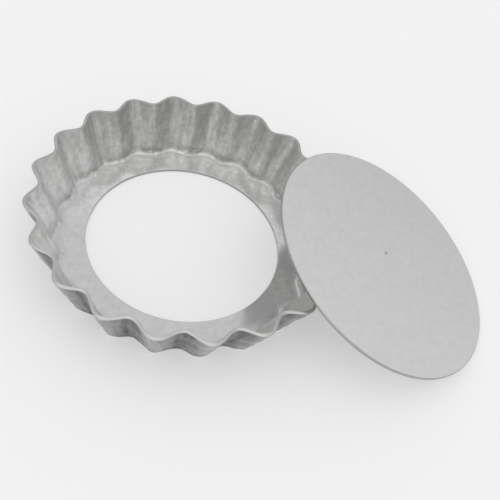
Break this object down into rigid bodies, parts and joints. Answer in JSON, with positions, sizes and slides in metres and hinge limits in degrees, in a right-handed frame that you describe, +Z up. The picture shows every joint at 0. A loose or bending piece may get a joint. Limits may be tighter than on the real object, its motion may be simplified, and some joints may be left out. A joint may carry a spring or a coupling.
{
  "type": "mini tart pan",
  "caption": "Small fluted tart pan with a flared wall and a flat inner ledge, its loose round base taken out and leaning on the rim.",
  "frame": {"origin": "on the table, under the middle of the box around the ring and its leaning base", "axes": "+X the way the loose base leans down from the rim, +Z up from the table, +Y the third axis"},
  "size_m": [0.148, 0.1, 0.03],
  "materials": {
    "ring_aluminium": "pressed sheet, dull satin with draw marks",
    "base_aluminium": "rolled sheet, matt mill finish"
  },
  "bodies": {
    "ring": {"fluted_ring": "ring_aluminium"},
    "base": {"loose_base": "base_aluminium"}
  },
  "joints": [
    {"name": "base_lift", "type": "slide", "parent": "ring", "child": "base", "axis": [0, 0, 1], "range_m": [0, 0.06]}
  ]
}
